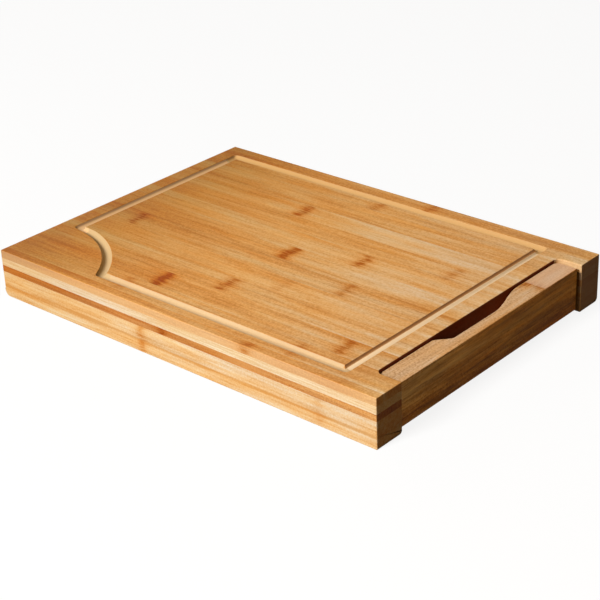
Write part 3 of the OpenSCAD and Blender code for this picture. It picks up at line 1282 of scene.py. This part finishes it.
@dataclass
class JuiceGroove:
    """The groove that a router cuts round the cutting surface, with its curved-off corner.

    lip holds the points of the eased rim: how far out from the groove's edge, and how high.
    """

    radius: float = 4.5 * MM
    depth: float = 3.5 * MM
    lip: tuple[Step, ...] = ((LIP, 0.0), (0.4 * LIP, -0.04 * MM), (-0.02 * MM, -0.16 * MM))
    near: float = -130.0 * MM
    far: float = 130.0 * MM
    right: float = 165.0 * MM
    left: float = -190.0 * MM
    curve_centre: tuple[float, float] = (-197.5 * MM, -183.5 * MM)
    curve_radius: float = 109.0 * MM
    curve_from: float = 29.4
    curve_to: float = 86.05
    section_turns: tuple[float, ...] = (70.0, 58.0, 45.0, 31.0, 16.0, 0.0)
    shortest_edge: float = 0.6 * MM
    corner_steps: int = 12
    curve_steps: int = 40

    def section(self) -> list[Step]:
        """Distance from the middle line and height below the surface, from the rim to the floor.

        Returns:
            Pairs of distance and height, the rim first.
        """
        rise = self.radius - self.depth
        half = math.sqrt(self.radius**2 - rise**2)
        points = [(half + out, height) for out, height in self.lip]
        for degrees in self.section_turns:
            turn = math.radians(degrees)
            points.append((self.radius * math.sin(turn), rise - self.radius * math.cos(turn)))
        return points

    def draw(self, piece: Workpiece, top: float) -> None:
        """Draws the rim on the surface and lets the groove into it.

        Args:
            piece: the ply, in edit mode.
            top: height of the surface.
        """
        section = self.section()
        reach = section[0][0]
        hub = Vector((*self.curve_centre, top))
        bend = self.curve_radius - reach
        first = math.radians(self.curve_from)
        last = math.radians(self.curve_to)
        begin = hub + self.curve_radius * Vector((math.cos(first), math.sin(first), 0.0))
        end = hub + self.curve_radius * Vector((math.cos(last), math.sin(last), 0.0))
        corners = [
            Vector((self.right, self.near, top)),
            Vector((self.right, self.far, top)),
            Vector((self.left, self.far, top)),
        ]
        ways = [Vector((0.0, -reach, 0.0)), Vector((reach, 0.0, 0.0)), Vector((0.0, reach, 0.0))]
        piece.start(hub + bend * Vector((math.cos(first), math.sin(first), 0.0)))
        piece.arc(begin, QUARTER - self.curve_from, BEND_STEPS)
        for corner, way in zip(corners, ways):
            piece.corners((corner + way, corner, QUARTER, self.corner_steps))
        piece.corners((end + Vector((-reach, 0.0, 0.0)), end, self.curve_to, self.corner_steps))
        piece.arc(hub, self.curve_from - self.curve_to, self.curve_steps)
        piece.close()
        down = [(a[0] - b[0], b[1] - a[1]) for a, b in zip(section, section[1:])]
        piece.rim(down)
        piece.pick(
            Pick.EDGES,
            lambda edge: edge.calc_length() < self.shortest_edge and self._on_floor(edge.verts, top),
        )
        bpy.ops.mesh.merge(type="COLLAPSE")
        piece.pick(Pick.FACES, lambda face: self._on_floor(face.verts, top))
        piece.rim((inset, -rise) for inset, rise in reversed(down))

    def _on_floor(self, vertices: Iterable[bmesh.types.BMVert], top: float) -> bool:
        """Tells whether all points lie on the groove's middle line."""
        return all(abs(vertex.co.z - top + self.depth) < TIGHT for vertex in vertices)


@dataclass
class Panel:
    """The two glued plies, with the opening for the drawer front."""

    finishes: Finishes
    opening_x: float = 185.6 * MM
    opening_near: float = -120.0 * MM
    opening_far: float = 122.5 * MM
    opening_r: float = 5.5 * MM
    corner_r: float = 0.9 * MM
    ease: float = 0.7 * MM
    groove: JuiceGroove = field(default_factory=JuiceGroove)

    def build(self) -> None:
        """Builds both plies."""
        self._upper()
        self._lower()

    def _outline(self, name: str, low: Vector, high: Vector, level: float) -> Workpiece:
        """Draws the plan of a ply.

        Args:
            name: name of the ply.
            low: lowest corner of the ply.
            high: highest corner.
            level: height of the outline.

        Returns:
            The workpiece with its plan as one face.
        """
        r = self.corner_r
        slot_r = self.opening_r
        near = self.opening_near
        far = self.opening_far

        def at(x: float, y: float) -> Vector:
            """A point of the plan."""
            return Vector((x, y, level))

        left = low.x + r
        right = high.x - r
        slot = self.opening_x + slot_r
        piece = Workpiece.drawn(name, at(left, low.y))
        piece.corners(
            (at(right, low.y), at(right, low.y + r), QUARTER, EDGE_STEPS),
            (at(high.x, near - r), at(right, near - r), QUARTER, EDGE_STEPS),
            (at(slot, near), at(slot, near + slot_r), -QUARTER, BEND_STEPS),
            (at(self.opening_x, far - slot_r), at(slot, far - slot_r), -QUARTER, BEND_STEPS),
            (at(right, far), at(right, far + r), QUARTER, EDGE_STEPS),
            (at(high.x, high.y - r), at(right, high.y - r), QUARTER, EDGE_STEPS),
            (at(left, high.y), at(left, high.y - r), QUARTER, EDGE_STEPS),
            (at(low.x, low.y + r), at(left, low.y + r), QUARTER, EDGE_STEPS),
        )
        piece.close()
        return piece

    def _upper(self) -> None:
        """The cutting surface with its eased edges and the juice groove."""
        low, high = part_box("upper_ply")
        shoulder = high.z - self.ease
        piece = self._outline("upper_ply_wood", low, high, shoulder)
        piece.rim(quarter_round(self.ease))
        bpy.ops.mesh.delete(type="ONLY_FACE")
        self.groove.draw(piece, high.z)
        piece.pick(
            Pick.EDGES,
            lambda edge: not edge.is_manifold and all(abs(v.co.z - high.z) < TIGHT for v in edge.verts),
        )
        bpy.ops.mesh.fill(use_beauty=True)
        piece.pick_line(z=shoulder)
        piece.pull(Vector((0.0, 0.0, low.z - shoulder)))
        bpy.ops.mesh.edge_face_add()
        obj = piece.finish(Body.BOARD, "upper_ply", "bamboo_top")
        dress(obj, self.finishes.top.build())

    def _lower(self) -> None:
        """The ply under the cutting surface."""
        low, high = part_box("lower_ply")
        piece = self._outline("lower_ply_wood", low, high, low.z)
        piece.pull(Vector((0.0, 0.0, high.z - low.z)))
        piece.bore("near_rail_dowels", "far_rail_dowels", "back_rail_dowels")
        obj = piece.finish(Body.BOARD, "lower_ply", "bamboo_pale")
        dress(obj, self.finishes.pale.build())


@dataclass
class Rails:
    """The two side rails with their dark strips, and the back rail."""

    finishes: Finishes
    ease: float = 0.9 * MM
    near_inner_r: float = 3.0 * MM
    far_inner_r: float = 1.0 * MM
    near_outer_r: float = 0.5 * MM
    far_outer_r: float = 4.0 * MM
    heel_r: float = 6.0 * MM
    back_strip_r: float = 0.3 * MM
    outside: float = 130.0 * MM
    spare: float = 10.0 * MM

    def build(self) -> None:
        """Builds the strips, the lamellas and the back rail."""
        dark = self.finishes.dark.build()
        rail = self.finishes.rail.build()
        cross = self.finishes.cross.build()
        for side in Side:
            dowels = f"{side.value}_rail_dowels"
            self._bar(f"{side.value}_accent_strip", "bamboo_dark", (dowels,), dark)
            self._bar(f"{side.value}_rail_upper", "bamboo_rail", (dowels, "runner_screws"), rail)
            self._lower(side, rail)
        self._back_strip(dark)
        self._back(cross)

    def _ease_ends(self, piece: Workpiece, low: Vector, high: Vector) -> None:
        """Rounds the upright edges at the ends of a bar.

        Args:
            piece: the bar.
            low: lowest corner of the bar.
            high: highest corner.
        """
        piece.edit()
        for x in (low.x, high.x):
            for y in (low.y, high.y):
                if abs(y) > self.outside or x > 0.0:
                    piece.round(self.ease, EDGE_STEPS, x=x, y=y)

    def _bar(self, node: str, slot: str, bores: Sequence[str], material: bpy.types.Material) -> None:
        """A bar with eased ends: a dark strip, or the upper lamella of a side rail.

        Args:
            node: node that the bar stands for.
            slot: material slot of the record.
            bores: nodes that sit in the bar.
            material: finish of the bar.
        """
        low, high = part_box(node)
        piece = Workpiece.block(f"{node}_wood", low, high)
        self._ease_ends(piece, low, high)
        piece.bore(*bores)
        dress(piece.finish(Body.BOARD, node, slot), material)

    def _lower(self, side: Side, material: bpy.types.Material) -> None:
        """The lower lamella of a side rail, with its rounded foot edges and heel.

        Args:
            side: side of the board.
            material: finish of the rail.
        """
        node = f"{side.value}_rail_lower"
        low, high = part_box(node)
        if side is Side.NEAR:
            outer, inner = low.y, high.y
            outer_r, inner_r = self.near_outer_r, self.near_inner_r
        else:
            outer, inner = high.y, low.y
            outer_r, inner_r = self.far_outer_r, self.far_inner_r
        piece = Workpiece.block(f"{node}_wood", low, high)
        piece.edit()
        piece.round(inner_r, FOOT_STEPS, y=inner, z=low.z)
        piece.round(outer_r, FOOT_STEPS, y=outer, z=low.z)
        spare = Vector((0.0, self.spare, 0.0))
        heel = Workpiece.block("heel", low - spare, high + spare)
        heel.edit()
        heel.round(self.heel_r, BEND_STEPS, x=low.x, z=low.z)
        piece.combine(heel, Cut.COMMON)
        piece.edit()
        piece.pick(
            Pick.EDGES,
            lambda edge: all(abs(v.co.x - high.x) < TIGHT for v in edge.verts)
            and any(v.co.z < high.z - TIGHT for v in edge.verts),
        )
        piece.bevel(self.ease, EDGE_STEPS)
        piece.round(self.ease, EDGE_STEPS, x=low.x, y=outer)
        dress(piece.finish(Body.BOARD, node, "bamboo_rail"), material)

    def _back_strip(self, material: bpy.types.Material) -> None:
        """The dark strip between panel and back rail.

        Args:
            material: finish of the strip.
        """
        low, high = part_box("back_accent_strip")
        piece = Workpiece.block("back_accent_strip_wood", low, high)
        piece.edit()
        piece.round(self.back_strip_r, THIN_STEPS, x=high.x, z=low.z)
        piece.bore("back_rail_dowels")
        dress(piece.finish(Body.BOARD, "back_accent_strip", "bamboo_dark"), material)

    def _back(self, material: bpy.types.Material) -> None:
        """The rail that closes the end behind the drawer.

        Args:
            material: finish of the rail.
        """
        low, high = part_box("back_rail")
        piece = Workpiece.block("back_rail_wood", low, high)
        piece.edit()
        for x in (low.x, high.x):
            piece.round(self.ease, EDGE_STEPS, x=x, z=low.z)
        piece.bore("back_rail_dowels")
        dress(piece.finish(Body.BOARD, "back_rail", "bamboo_rail"), material)


@dataclass
class Drawer:
    """The thick front with its finger recess, and the box behind it."""

    finishes: Finishes
    corner_r: float = 5.5 * MM
    edge_r: float = 1.0 * MM
    ease: float = 0.7 * MM
    recess_depth: float = 10.8 * MM
    recess_floor: float = 19.5 * MM
    recess_near: tuple[float, float] = (-52.55 * MM, -38.55 * MM)
    recess_far: tuple[float, float] = (60.05 * MM, 17.55 * MM)
    runner_slot: tuple[float, float] = (13.1 * MM, 21.7 * MM)
    runner_slot_depth: float = 5.8 * MM
    box_top_r: float = 1.5 * MM
    sheet_r: float = 0.4 * MM
    spare: float = 5.0 * MM
    far_steps: int = 28
    near_steps: int = 18

    def build(self) -> None:
        """Builds the front and the four parts of the box."""
        box = self.finishes.box.build()
        self._front(self.finishes.front.build())
        for side in Side:
            self._side(side, box)
        self._back(self.finishes.cross_box.build())
        self._bottom(self.finishes.sheet.build())

    def _sweep(self, start: Vector, run: Vector, steps: int) -> list[Vector]:
        """Points of a run between two parallel lines that eases in and out.

        Args:
            start: first point, which isn't listed again.
            run: way from the first point to the last.
            steps: number of stretches.

        Returns:
            The points after the first.
        """
        points = []
        for step in range(1, steps + 1):
            share = step / steps
            bend = (share + (1.0 - math.cos(math.pi * share)) / 2) / 2
            points.append(start + Vector((run.x * bend, run.y * share, 0.0)))
        return points

    def _front(self, material: bpy.types.Material) -> None:
        """The drawer front.

        Args:
            material: finish of the front.
        """
        low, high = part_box("drawer_front")
        level = high.z - self.ease
        r = self.edge_r
        back_r = self.corner_r
        floor = self.recess_floor

        def at(x: float, y: float, z: float = level) -> Vector:
            """A point of the plan."""
            return Vector((x, y, z))

        piece = Workpiece.drawn("drawer_front_wood", at(low.x + back_r, low.y))
        piece.corners(
            (at(high.x - r, low.y), at(high.x - r, low.y + r), QUARTER, EDGE_STEPS),
            (at(high.x, high.y - r), at(high.x - r, high.y - r), QUARTER, EDGE_STEPS),
            (at(low.x + back_r, high.y), at(low.x + back_r, high.y - back_r), QUARTER, BEND_STEPS),
        )
        mouth_far = at(low.x, self.recess_far[0])
        mouth_near = at(low.x, self.recess_near[0])
        deep_near = at(low.x + self.recess_depth, self.recess_near[1])
        piece.line(mouth_far)
        far_run = Vector((self.recess_depth, self.recess_far[1] - self.recess_far[0], 0.0))
        near_run = Vector((-self.recess_depth, self.recess_near[0] - self.recess_near[1], 0.0))
        piece.line(*self._sweep(mouth_far, far_run, self.far_steps))
        piece.line(deep_near)
        piece.line(*self._sweep(deep_near, near_run, self.near_steps))
        piece.corners((at(low.x, low.y + back_r), at(low.x + back_r, low.y + back_r), QUARTER, BEND_STEPS))
        piece.close()
        piece.rim(quarter_round(self.ease))

        piece.pick_line(z=level)
        piece.pull(Vector((0.0, 0.0, floor - level)))
        self._recess_floor(piece, mouth_near.y, mouth_far.y, low.x)
        piece.pick(
            Pick.EDGES,
            lambda edge: all(abs(v.co.z - floor) < TIGHT for v in edge.verts) and edge.is_boundary,
        )
        piece.pull(Vector((0.0, 0.0, low.z + self.ease - floor)))
        bpy.ops.mesh.edge_face_add()
        bpy.ops.mesh.select_all(action="SELECT")
        bpy.ops.mesh.normals_make_consistent(inside=False)
        piece.pick(Pick.FACES, lambda face: face.calc_center_median().z < low.z + self.ease + TIGHT)
        piece.rim(quarter_round(self.ease))
        piece.bore("drawer_front_dowels", "drawer_bottom")
        dress(piece.finish(Body.DRAWER, "drawer_front", "bamboo_front"), material)

    def _recess_floor(self, piece: Workpiece, near: float, far: float, back: float) -> None:
        """Closes the bottom of the finger recess.

        Args:
            piece: the front, drawn down to the recess floor.
            near: near end of the recess mouth.
            far: far end of the mouth.
            back: place of the rear face.
        """
        floor = self.recess_floor

        def in_recess(edge: bmesh.types.BMEdge) -> bool:
            """Tells the edges along the bottom of the recess wall.

            Args:
                edge: the edge in question.

            Returns:
                True for an edge of the recess.
            """
            level = all(abs(v.co.z - floor) < TIGHT for v in edge.verts)
            inside = all(near - TIGHT < v.co.y < far + TIGHT for v in edge.verts)
            return level and inside and all(v.co.x < back + self.recess_depth + TIGHT for v in edge.verts)

        piece.pick(Pick.EDGES, in_recess)
        bpy.ops.mesh.edge_face_add()

    def _side(self, side: Side, material: bpy.types.Material) -> None:
        """A side of the box, with its runner groove.

        Args:
            side: side of the board.
            material: finish of the box.
        """
        node = f"drawer_{side.value}_side"
        low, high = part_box(node)
        outer, inner = (low.y, high.y) if side is Side.NEAR else (high.y, low.y)
        inward = math.copysign(1.0, inner - outer)
        piece = Workpiece.block(f"{node}_wood", low, high)
        piece.edit()
        for y in (outer, inner):
            piece.round(self.ease, EDGE_STEPS, y=y, z=low.z)
            piece.round(self.box_top_r, EDGE_STEPS, y=y, z=high.z)
        near_y, far_y = sorted((outer - inward * MM, outer + inward * self.runner_slot_depth))
        slot = Workpiece.block(
            "slot",
            Vector((low.x - self.spare, near_y, self.runner_slot[0])),
            Vector((high.x + self.spare, far_y, self.runner_slot[1])),
        )
        piece.combine(slot, Cut.OUTSIDE)
        piece.bore("drawer_front_dowels", "drawer_back_dowels", "drawer_bottom")
        dress(piece.finish(Body.DRAWER, node, "bamboo_box"), material)

    def _back(self, material: bpy.types.Material) -> None:
        """The back of the box.

        Args:
            material: finish of the back.
        """
        low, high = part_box("drawer_back")
        piece = Workpiece.block("drawer_back_wood", low, high)
        piece.edit()
        for x in (low.x, high.x):
            piece.round(self.box_top_r, EDGE_STEPS, x=x, z=high.z)
            piece.round(self.ease, EDGE_STEPS, x=x, z=low.z)
        piece.bore("drawer_back_dowels", "drawer_bottom")
        dress(piece.finish(Body.DRAWER, "drawer_back", "bamboo_box"), material)

    def _bottom(self, material: bpy.types.Material) -> None:
        """The thin board that lies in grooves on four sides.

        Args:
            material: finish of the bottom.
        """
        low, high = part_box("drawer_bottom")
        piece = Workpiece.block("drawer_bottom_wood", low, high)
        piece.edit()
        for z in (low.z, high.z):
            piece.round(self.sheet_r, THIN_STEPS, z=z)
        dress(piece.finish(Body.DRAWER, "drawer_bottom", "bamboo_bottom"), material)


@dataclass
class Fittings:
    """Runners, dowels and screws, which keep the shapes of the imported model."""

    finishes: Finishes
    dowels: tuple[str, ...] = (
        "near_rail_dowels",
        "far_rail_dowels",
        "back_rail_dowels",
        "drawer_front_dowels",
        "drawer_back_dowels",
    )
    runners: tuple[str, ...] = ("near_runner", "far_runner")

    def build(self) -> None:
        """Dresses the parts."""
        self._dress(self.runners, self.finishes.box.build())
        self._dress(self.dowels, self.finishes.dowel.build())
        self._dress(("runner_screws",), self.finishes.steel.build())

    def _dress(self, nodes: Sequence[str], material: bpy.types.Material) -> None:
        """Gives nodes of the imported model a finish.

        Args:
            nodes: names of the nodes.
            material: the finish.
        """
        for node in nodes:
            dress(frame["nodes"][node], material)
            log.info("%s: dressed", node)


@dataclass(frozen=True)
class Lamp:
    """A square soft lamp aimed at the board.

    place and size are in metres, watts is the power.
    """

    name: str
    place: tuple[float, float, float]
    size: float
    watts: float
    colour: Colour = (1.0, 1.0, 1.0)

    def build(self) -> None:
        """Sets the lamp up."""
        data = bpy.data.lights.new(self.name, "AREA")
        data.size = self.size
        data.energy = self.watts
        data.color = self.colour
        lamp = bpy.data.objects.new(self.name, data)
        lamp.location = self.place
        lamp.rotation_mode = "QUATERNION"
        lamp.rotation_quaternion = (-Vector(self.place)).to_track_quat("-Z", "Y")
        bpy.context.scene.collection.objects.link(lamp)


@dataclass
class Studio:
    """Floor, lamps, world and camera."""

    floor_size: float = 24.0
    floor_white: Colour = (0.95, 0.95, 0.95)
    shadow_share: float = 0.13
    bounce: Colour = (0.10, 0.06, 0.025)
    ambient: float = 0.11
    ambient_tint: Colour = (1.0, 0.63, 0.18)
    lamps: tuple[Lamp, ...] = (
        Lamp("key_lamp", (-0.3, -3.03, 2.205), 1.05, 194.0),
        Lamp("fill_lamp", (0.95, -0.9, 0.5), 0.5, 1.8, (1.0, 0.66, 0.20)),
        Lamp("back_lamp", (-3.6, 1.8, 1.4), 2.0, 26.0),
    )
    lens: float = 96.57
    sensor: float = 36.0
    clip: float = 0.01
    azimuth: float = 42.212
    elevation: float = 26.946
    roll: float = -2.472
    eye: tuple[float, float, float] = (0.8406, -0.9219, 0.6318)

    def build(self) -> None:
        """Sets the whole studio up."""
        bpy.context.scene.view_settings.view_transform = "Standard"
        self._floor()
        self._world()
        for lamp in self.lamps:
            lamp.build()
        self._camera()

    def _seen(self, tree: bpy.types.NodeTree) -> Socket:
        """One where the background is looked at, straight or through gloss or glass.

        Args:
            tree: node tree of the floor or the world.

        Returns:
            The mask.
        """
        path = tree.nodes.new("ShaderNodeLightPath")
        total = path.outputs["Is Camera Ray"]
        for name in ("Is Glossy Ray", "Is Transmission Ray"):
            node = tree.nodes.new("ShaderNodeMath")
            node.operation = "MAXIMUM"
            tree.links.new(total, node.inputs[0])
            tree.links.new(path.outputs[name], node.inputs[1])
            total = node.outputs[0]
        return total

    def _choose(
        self, tree: bpy.types.NodeTree, unseen: bpy.types.Node, seen: bpy.types.Node, output: str
    ) -> None:
        """Lights with one shader and shows another where the background is looked at.

        Args:
            tree: node tree of the floor or the world.
            unseen: shader that lights the object.
            seen: shader that is looked at.
            output: type of the tree's output node.
        """
        choice = tree.nodes.new("ShaderNodeMixShader")
        tree.links.new(self._seen(tree), choice.inputs["Fac"])
        tree.links.new(unseen.outputs[0], choice.inputs[1])
        tree.links.new(seen.outputs[0], choice.inputs[2])
        result = tree.nodes.new(output)
        tree.links.new(choice.outputs[0], result.inputs["Surface"])

    def _floor(self) -> None:
        """A wide pale floor that looks white and keeps a soft shadow."""
        let_go()
        bpy.ops.mesh.primitive_plane_add(size=self.floor_size)
        floor = bpy.context.object
        floor.name = "studio_floor"
        material = bpy.data.materials.new("studio_floor")
        material.use_nodes = True
        tree = material.node_tree
        tree.nodes.clear()
        white = tree.nodes.new("ShaderNodeBsdfDiffuse")
        white.inputs["Color"].default_value = (*self.floor_white, 1.0)
        dim = tree.nodes.new("ShaderNodeBsdfDiffuse")
        dim.inputs["Color"].default_value = (*self.bounce, 1.0)
        glow = tree.nodes.new("ShaderNodeEmission")
        glow.inputs["Strength"].default_value = 1.0
        look = tree.nodes.new("ShaderNodeMixShader")
        look.inputs["Fac"].default_value = self.shadow_share
        tree.links.new(glow.outputs[0], look.inputs[1])
        tree.links.new(white.outputs[0], look.inputs[2])
        self._choose(tree, dim, look, "ShaderNodeOutputMaterial")
        dress(floor, material)

    def _world(self) -> None:
        """White behind the object, and a low even light on it."""
        world = bpy.data.worlds.new("studio_world")
        bpy.context.scene.world = world
        world.use_nodes = True
        tree = world.node_tree
        tree.nodes.clear()
        seen = tree.nodes.new("ShaderNodeBackground")
        seen.inputs["Strength"].default_value = 1.0
        seen.inputs["Color"].default_value = (1.0, 1.0, 1.0, 1.0)
        soft = tree.nodes.new("ShaderNodeBackground")
        soft.inputs["Strength"].default_value = self.ambient
        soft.inputs["Color"].default_value = (*self.ambient_tint, 1.0)
        self._choose(tree, soft, seen, "ShaderNodeOutputWorld")

    def _camera(self) -> None:
        """The camera at the photograph's viewing angle."""
        turn = math.radians(self.azimuth)
        lift = math.radians(self.elevation)
        tilt = math.radians(self.roll)
        back = Vector((math.sin(turn) * math.cos(lift), -math.cos(turn) * math.cos(lift), math.sin(lift)))
        right = Vector((math.cos(turn), math.sin(turn), 0.0))
        upward = back.cross(right)
        rolled = math.cos(tilt) * right + math.sin(tilt) * upward
        upright = math.cos(tilt) * upward - math.sin(tilt) * right
        data = bpy.data.cameras.new("photo_camera")
        data.sensor_fit = "HORIZONTAL"
        data.sensor_width = self.sensor
        data.lens = self.lens
        data.clip_start = self.clip
        camera = bpy.data.objects.new("photo_camera", data)
        camera.rotation_mode = "QUATERNION"
        camera.rotation_quaternion = Matrix((rolled, upright, back)).transposed().to_quaternion()
        camera.location = self.eye
        bpy.context.scene.collection.objects.link(camera)
        bpy.context.scene.camera = camera


def main() -> None:
    """Builds the board, the drawer and the studio."""
    logging.basicConfig(level=logging.INFO)
    finishes = Finishes()
    Panel(finishes).build()
    Rails(finishes).build()
    Drawer(finishes).build()
    Fittings(finishes).build()
    Studio().build()


if __name__ == "__main__":
    main()
